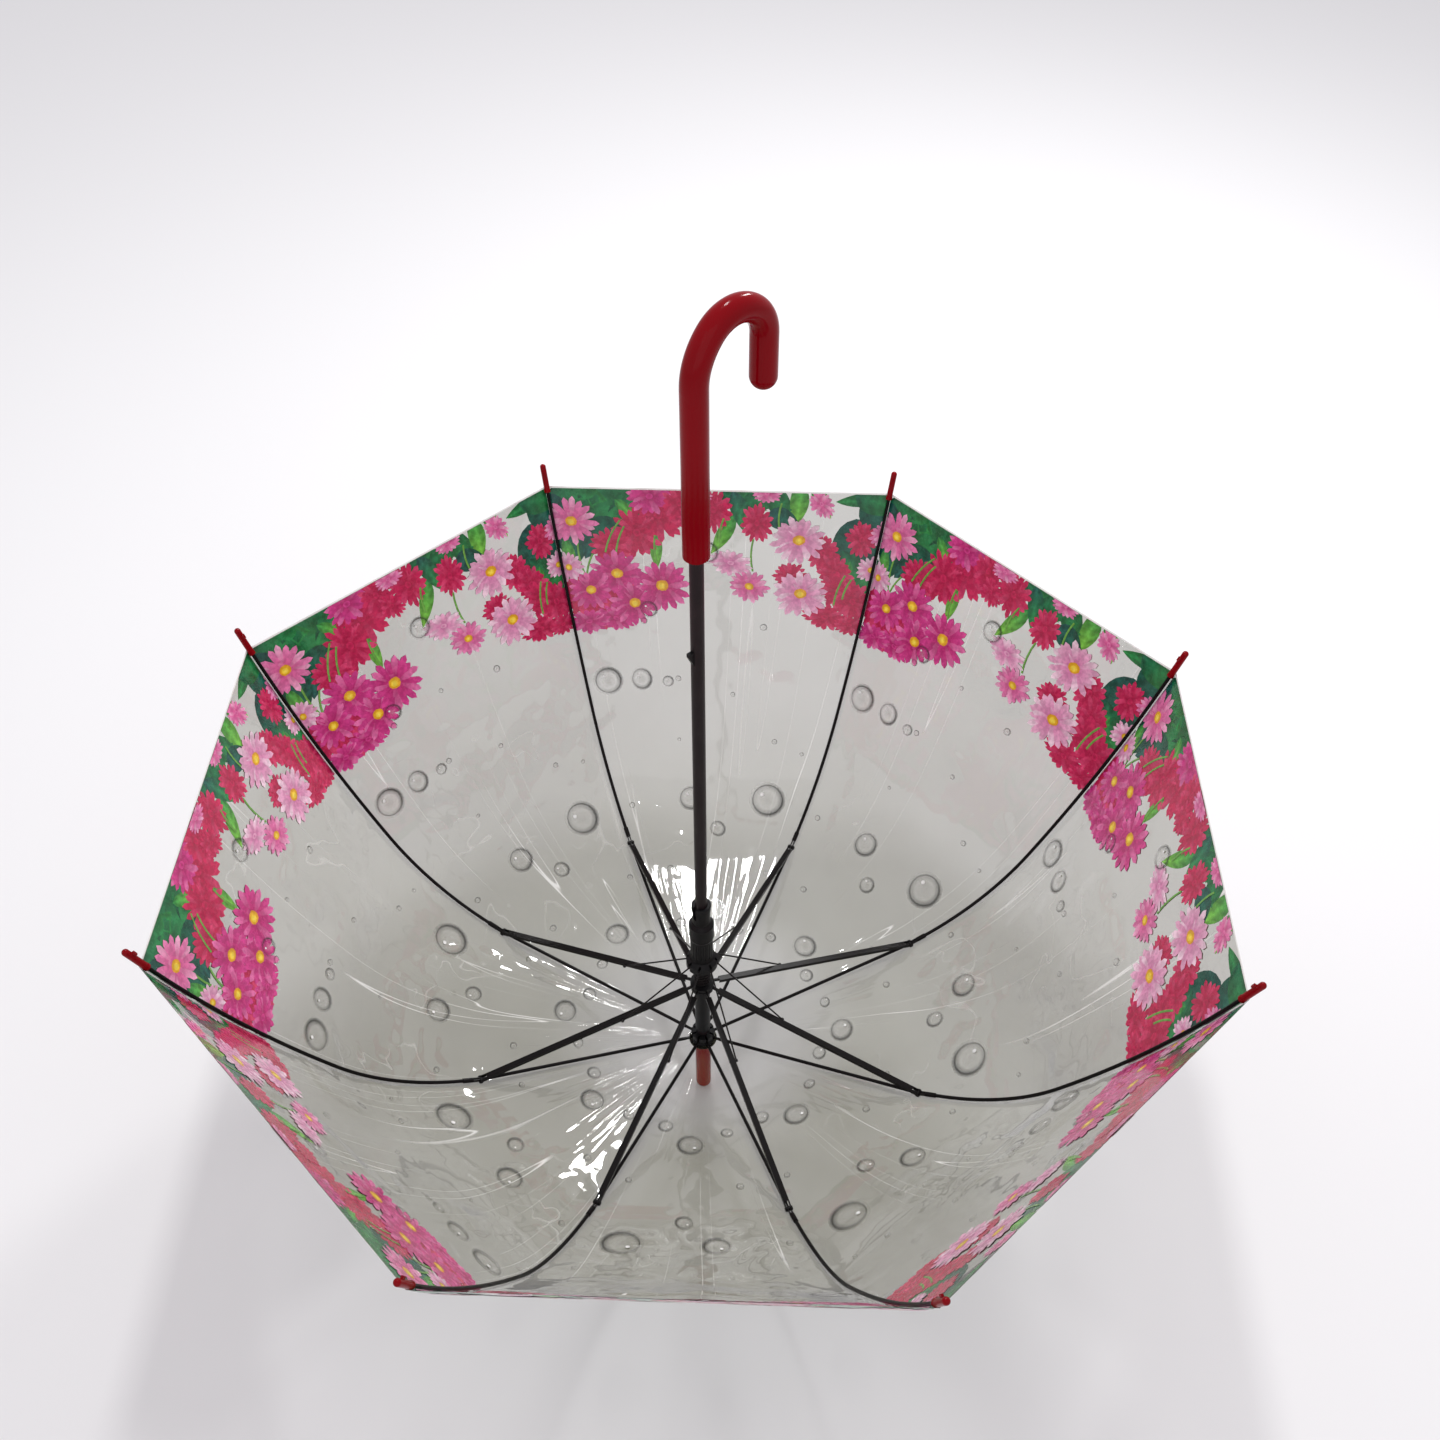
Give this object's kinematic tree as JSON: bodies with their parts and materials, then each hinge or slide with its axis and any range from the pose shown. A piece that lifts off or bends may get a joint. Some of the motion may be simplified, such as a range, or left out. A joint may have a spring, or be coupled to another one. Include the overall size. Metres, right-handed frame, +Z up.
{
  "type": "clear bubble umbrella",
  "caption": "Clear dome umbrella with a flower border, folding wire ribs, a sliding runner and a red crook handle.",
  "frame": {"origin": "tip of the ferrule, on the shaft's axis", "axes": "+Z up the shaft from the ferrule to the handle; +X the way the crook turns"},
  "size_m": [0.7888, 0.7888, 0.8323],
  "materials": {
    "film": "clear film",
    "red_plastic": "gloss",
    "black_plastic": "satin",
    "black_metal": "satin",
    "steel_wire": "satin"
  },
  "bodies": {
    "frame": {"shaft": "black_metal", "handle": "red_plastic", "ferrule": "red_plastic", "washer": "black_plastic", "crown": "black_plastic", "crown_wire": "steel_wire", "gore_1": "film", "gore_2": "film", "gore_3": "film", "gore_4": "film", "gore_5": "film", "gore_6": "film", "gore_7": "film", "gore_8": "film"},
    "rib_1": {"rib_1": "black_metal"},
    "rib_end_1": {"rib_end_1": "black_metal", "cap_1": "red_plastic"},
    "stretcher_1": {"stretcher_1": "black_metal"},
    "pull_1": {"pull_wire_1": "steel_wire"},
    "rib_2": {"rib_2": "black_metal"},
    "rib_end_2": {"rib_end_2": "black_metal", "cap_2": "red_plastic"},
    "stretcher_2": {"stretcher_2": "black_metal"},
    "pull_2": {"pull_wire_2": "steel_wire"},
    "rib_3": {"rib_3": "black_metal"},
    "rib_end_3": {"rib_end_3": "black_metal", "cap_3": "red_plastic"},
    "stretcher_3": {"stretcher_3": "black_metal"},
    "pull_3": {"pull_wire_3": "steel_wire"},
    "rib_4": {"rib_4": "black_metal"},
    "rib_end_4": {"rib_end_4": "black_metal", "cap_4": "red_plastic"},
    "stretcher_4": {"stretcher_4": "black_metal"},
    "pull_4": {"pull_wire_4": "steel_wire"},
    "rib_5": {"rib_5": "black_metal"},
    "rib_end_5": {"rib_end_5": "black_metal", "cap_5": "red_plastic"},
    "stretcher_5": {"stretcher_5": "black_metal"},
    "pull_5": {"pull_wire_5": "steel_wire"},
    "rib_6": {"rib_6": "black_metal"},
    "rib_end_6": {"rib_end_6": "black_metal", "cap_6": "red_plastic"},
    "stretcher_6": {"stretcher_6": "black_metal"},
    "pull_6": {"pull_wire_6": "steel_wire"},
    "rib_7": {"rib_7": "black_metal"},
    "rib_end_7": {"rib_end_7": "black_metal", "cap_7": "red_plastic"},
    "stretcher_7": {"stretcher_7": "black_metal"},
    "pull_7": {"pull_wire_7": "steel_wire"},
    "rib_8": {"rib_8": "black_metal"},
    "rib_end_8": {"rib_end_8": "black_metal", "cap_8": "red_plastic"},
    "stretcher_8": {"stretcher_8": "black_metal"},
    "pull_8": {"pull_wire_8": "steel_wire"},
    "slider": {"slider": "black_plastic", "slider_wire": "steel_wire", "spring": "steel_wire"},
    "runner": {"runner": "black_plastic"},
    "catch": {"catch": "steel_wire"}
  },
  "joints": [
    {"name": "canopy_fold", "type": "hinge", "parent": "frame", "child": "rib_1", "pos_m": [0.00785, 0.00325, 0.084], "axis": [0.3827, -0.9239, 0], "range_deg": [0, 75.38], "stiffness_Nm_per_rad": 0.4, "springref_deg": -17.19, "deforming": ["gore_1", "gore_2", "gore_3", "gore_4", "gore_5", "gore_6", "gore_7", "gore_8"]},
    {"name": "rib_flex_1", "type": "hinge", "parent": "rib_1", "child": "rib_end_1", "pos_m": [0.18755, 0.07768, 0.124], "axis": [0.3827, -0.9239, 0], "range_deg": [-39.19, 0]},
    {"name": "stretcher_hinge_1", "type": "hinge", "parent": "rib_1", "child": "stretcher_1", "pos_m": [0.18755, 0.07768, 0.124], "axis": [0.3827, -0.9239, 0], "range_deg": [-150.78, 0]},
    {"name": "pull_hinge_1", "type": "hinge", "parent": "stretcher_1", "child": "pull_1", "pos_m": [0.06895, 0.02856, 0.1504], "axis": [0.3827, -0.9239, 0], "range_deg": [0, 23.23]},
    {"name": "crown_hinge_2", "type": "hinge", "parent": "frame", "child": "rib_2", "pos_m": [0.00325, 0.00785, 0.084], "axis": [0.9239, -0.3827, 0], "range_deg": [0, 75.4]},
    {"name": "rib_flex_2", "type": "hinge", "parent": "rib_2", "child": "rib_end_2", "pos_m": [0.07768, 0.18755, 0.124], "axis": [0.9239, -0.3827, 0], "range_deg": [-39.19, 0]},
    {"name": "stretcher_hinge_2", "type": "hinge", "parent": "rib_2", "child": "stretcher_2", "pos_m": [0.07768, 0.18755, 0.124], "axis": [0.9239, -0.3827, 0], "range_deg": [-150.78, 0]},
    {"name": "pull_hinge_2", "type": "hinge", "parent": "stretcher_2", "child": "pull_2", "pos_m": [0.02856, 0.06895, 0.1504], "axis": [0.9239, -0.3827, 0], "range_deg": [0, 23.23]},
    {"name": "crown_hinge_3", "type": "hinge", "parent": "frame", "child": "rib_3", "pos_m": [-0.00325, 0.00785, 0.084], "axis": [0.9239, 0.3827, 0], "range_deg": [0, 75.4]},
    {"name": "rib_flex_3", "type": "hinge", "parent": "rib_3", "child": "rib_end_3", "pos_m": [-0.07768, 0.18755, 0.124], "axis": [0.9239, 0.3827, 0], "range_deg": [-39.19, 0]},
    {"name": "stretcher_hinge_3", "type": "hinge", "parent": "rib_3", "child": "stretcher_3", "pos_m": [-0.07768, 0.18755, 0.124], "axis": [0.9239, 0.3827, 0], "range_deg": [-150.78, 0]},
    {"name": "pull_hinge_3", "type": "hinge", "parent": "stretcher_3", "child": "pull_3", "pos_m": [-0.02856, 0.06895, 0.1504], "axis": [0.9239, 0.3827, 0], "range_deg": [0, 23.23]},
    {"name": "crown_hinge_4", "type": "hinge", "parent": "frame", "child": "rib_4", "pos_m": [-0.00785, 0.00325, 0.084], "axis": [0.3827, 0.9239, 0], "range_deg": [0, 75.4]},
    {"name": "rib_flex_4", "type": "hinge", "parent": "rib_4", "child": "rib_end_4", "pos_m": [-0.18755, 0.07768, 0.124], "axis": [0.3827, 0.9239, 0], "range_deg": [-39.19, 0]},
    {"name": "stretcher_hinge_4", "type": "hinge", "parent": "rib_4", "child": "stretcher_4", "pos_m": [-0.18755, 0.07768, 0.124], "axis": [0.3827, 0.9239, 0], "range_deg": [-150.78, 0]},
    {"name": "pull_hinge_4", "type": "hinge", "parent": "stretcher_4", "child": "pull_4", "pos_m": [-0.06895, 0.02856, 0.1504], "axis": [0.3827, 0.9239, 0], "range_deg": [0, 23.23]},
    {"name": "crown_hinge_5", "type": "hinge", "parent": "frame", "child": "rib_5", "pos_m": [-0.00785, -0.00325, 0.084], "axis": [-0.3827, 0.9239, 0], "range_deg": [0, 75.4]},
    {"name": "rib_flex_5", "type": "hinge", "parent": "rib_5", "child": "rib_end_5", "pos_m": [-0.18755, -0.07768, 0.124], "axis": [-0.3827, 0.9239, 0], "range_deg": [-39.19, 0]},
    {"name": "stretcher_hinge_5", "type": "hinge", "parent": "rib_5", "child": "stretcher_5", "pos_m": [-0.18755, -0.07768, 0.124], "axis": [-0.3827, 0.9239, 0], "range_deg": [-150.78, 0]},
    {"name": "pull_hinge_5", "type": "hinge", "parent": "stretcher_5", "child": "pull_5", "pos_m": [-0.06895, -0.02856, 0.1504], "axis": [-0.3827, 0.9239, 0], "range_deg": [0, 23.23]},
    {"name": "crown_hinge_6", "type": "hinge", "parent": "frame", "child": "rib_6", "pos_m": [-0.00325, -0.00785, 0.084], "axis": [-0.9239, 0.3827, 0], "range_deg": [0, 75.4]},
    {"name": "rib_flex_6", "type": "hinge", "parent": "rib_6", "child": "rib_end_6", "pos_m": [-0.07768, -0.18755, 0.124], "axis": [-0.9239, 0.3827, 0], "range_deg": [-39.19, 0]},
    {"name": "stretcher_hinge_6", "type": "hinge", "parent": "rib_6", "child": "stretcher_6", "pos_m": [-0.07768, -0.18755, 0.124], "axis": [-0.9239, 0.3827, 0], "range_deg": [-150.78, 0]},
    {"name": "pull_hinge_6", "type": "hinge", "parent": "stretcher_6", "child": "pull_6", "pos_m": [-0.02856, -0.06895, 0.1504], "axis": [-0.9239, 0.3827, 0], "range_deg": [0, 23.23]},
    {"name": "crown_hinge_7", "type": "hinge", "parent": "frame", "child": "rib_7", "pos_m": [0.00325, -0.00785, 0.084], "axis": [-0.9239, -0.3827, 0], "range_deg": [0, 75.4]},
    {"name": "rib_flex_7", "type": "hinge", "parent": "rib_7", "child": "rib_end_7", "pos_m": [0.07768, -0.18755, 0.124], "axis": [-0.9239, -0.3827, 0], "range_deg": [-39.19, 0]},
    {"name": "stretcher_hinge_7", "type": "hinge", "parent": "rib_7", "child": "stretcher_7", "pos_m": [0.07768, -0.18755, 0.124], "axis": [-0.9239, -0.3827, 0], "range_deg": [-150.78, 0]},
    {"name": "pull_hinge_7", "type": "hinge", "parent": "stretcher_7", "child": "pull_7", "pos_m": [0.02856, -0.06895, 0.1504], "axis": [-0.9239, -0.3827, 0], "range_deg": [0, 23.23]},
    {"name": "crown_hinge_8", "type": "hinge", "parent": "frame", "child": "rib_8", "pos_m": [0.00785, -0.00325, 0.084], "axis": [-0.3827, -0.9239, 0], "range_deg": [0, 75.4]},
    {"name": "rib_flex_8", "type": "hinge", "parent": "rib_8", "child": "rib_end_8", "pos_m": [0.18755, -0.07768, 0.124], "axis": [-0.3827, -0.9239, 0], "range_deg": [-39.19, 0]},
    {"name": "stretcher_hinge_8", "type": "hinge", "parent": "rib_8", "child": "stretcher_8", "pos_m": [0.18755, -0.07768, 0.124], "axis": [-0.3827, -0.9239, 0], "range_deg": [-150.78, 0]},
    {"name": "pull_hinge_8", "type": "hinge", "parent": "stretcher_8", "child": "pull_8", "pos_m": [0.06895, -0.02856, 0.1504], "axis": [-0.3827, -0.9239, 0], "range_deg": [0, 23.23]},
    {"name": "slider_hinge", "type": "hinge", "parent": "stretcher_1", "child": "slider", "pos_m": [0.00785, 0.00325, 0.164], "axis": [0.3827, -0.9239, 0], "range_deg": [0, 75.4]},
    {"name": "runner_slide", "type": "slide", "parent": "slider", "child": "runner", "axis": [0, 0, 1], "range_m": [-0.02317, 0], "deforming": ["spring"]},
    {"name": "catch_press", "type": "slide", "parent": "frame", "child": "catch", "axis": [1, 0, 0], "range_m": [0, 0.004], "stiffness_N_per_m": 200, "springref_m": -0.001}
  ],
  "couplings": [
    {"joint": "rib_flex_1", "follows": "canopy_fold", "ratio": -0.51968},
    {"joint": "stretcher_hinge_1", "follows": "canopy_fold", "ratio": -2},
    {"joint": "pull_hinge_1", "follows": "canopy_fold", "ratio": 0.30796},
    {"joint": "crown_hinge_2", "follows": "canopy_fold", "ratio": 1},
    {"joint": "rib_flex_2", "follows": "canopy_fold", "ratio": -0.51968},
    {"joint": "stretcher_hinge_2", "follows": "canopy_fold", "ratio": -2},
    {"joint": "pull_hinge_2", "follows": "canopy_fold", "ratio": 0.30796},
    {"joint": "crown_hinge_3", "follows": "canopy_fold", "ratio": 1},
    {"joint": "rib_flex_3", "follows": "canopy_fold", "ratio": -0.51968},
    {"joint": "stretcher_hinge_3", "follows": "canopy_fold", "ratio": -2},
    {"joint": "pull_hinge_3", "follows": "canopy_fold", "ratio": 0.30796},
    {"joint": "crown_hinge_4", "follows": "canopy_fold", "ratio": 1},
    {"joint": "rib_flex_4", "follows": "canopy_fold", "ratio": -0.51968},
    {"joint": "stretcher_hinge_4", "follows": "canopy_fold", "ratio": -2},
    {"joint": "pull_hinge_4", "follows": "canopy_fold", "ratio": 0.30796},
    {"joint": "crown_hinge_5", "follows": "canopy_fold", "ratio": 1},
    {"joint": "rib_flex_5", "follows": "canopy_fold", "ratio": -0.51968},
    {"joint": "stretcher_hinge_5", "follows": "canopy_fold", "ratio": -2},
    {"joint": "pull_hinge_5", "follows": "canopy_fold", "ratio": 0.30796},
    {"joint": "crown_hinge_6", "follows": "canopy_fold", "ratio": 1},
    {"joint": "rib_flex_6", "follows": "canopy_fold", "ratio": -0.51968},
    {"joint": "stretcher_hinge_6", "follows": "canopy_fold", "ratio": -2},
    {"joint": "pull_hinge_6", "follows": "canopy_fold", "ratio": 0.30796},
    {"joint": "crown_hinge_7", "follows": "canopy_fold", "ratio": 1},
    {"joint": "rib_flex_7", "follows": "canopy_fold", "ratio": -0.51968},
    {"joint": "stretcher_hinge_7", "follows": "canopy_fold", "ratio": -2},
    {"joint": "pull_hinge_7", "follows": "canopy_fold", "ratio": 0.30796},
    {"joint": "crown_hinge_8", "follows": "canopy_fold", "ratio": 1},
    {"joint": "rib_flex_8", "follows": "canopy_fold", "ratio": -0.51968},
    {"joint": "stretcher_hinge_8", "follows": "canopy_fold", "ratio": -2},
    {"joint": "pull_hinge_8", "follows": "canopy_fold", "ratio": 0.30796},
    {"joint": "slider_hinge", "follows": "canopy_fold", "ratio": 1},
    {"joint": "runner_slide", "follows": "canopy_fold", "m_per_rad": -0.017594}
  ]
}
